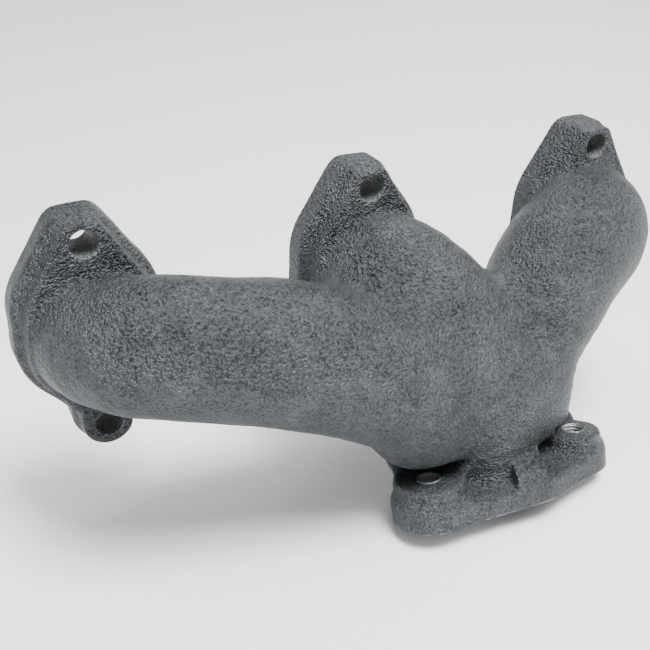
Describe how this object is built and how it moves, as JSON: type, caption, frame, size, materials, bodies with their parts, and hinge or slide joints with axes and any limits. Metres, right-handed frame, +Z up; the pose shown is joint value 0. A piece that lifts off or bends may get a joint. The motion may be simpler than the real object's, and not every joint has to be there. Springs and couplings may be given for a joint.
{
  "type": "exhaust manifold",
  "caption": "Cast iron exhaust manifold: port flanges in a row, swept runners merging into a collector, and a leaning two-bolt outlet flange.",
  "frame": {"origin": "centre of the middle port on the face that seals against the engine", "axes": "+Y points into the engine, square to the port faces; +X runs along the row of ports towards the outlet's end; +Z is up"},
  "size_m": [0.3236, 0.1115, 0.1587],
  "materials": {
    "cast_iron": "sand-cast grey iron, fine grain, blasted and lightly oiled"
  },
  "bodies": {
    "root": {"left_port_plate": "cast_iron", "middle_port_plate": "cast_iron", "right_port_plate": "cast_iron", "left_port_neck": "cast_iron", "middle_port_neck": "cast_iron", "right_port_neck": "cast_iron", "left_upper_stud_boss": "cast_iron", "middle_upper_stud_boss": "cast_iron", "right_upper_stud_boss": "cast_iron", "left_lower_stud_boss": "cast_iron", "middle_lower_stud_boss": "cast_iron", "right_lower_stud_boss": "cast_iron", "left_elbow": "cast_iron", "left_runner": "cast_iron", "middle_runner": "cast_iron", "right_elbow": "cast_iron", "right_runner": "cast_iron", "collector": "cast_iron", "outlet_neck": "cast_iron", "outlet_flange": "cast_iron", "outlet_left_boss": "cast_iron", "outlet_right_boss": "cast_iron", "outlet_front_pad": "cast_iron"}
  },
  "joints": []
}
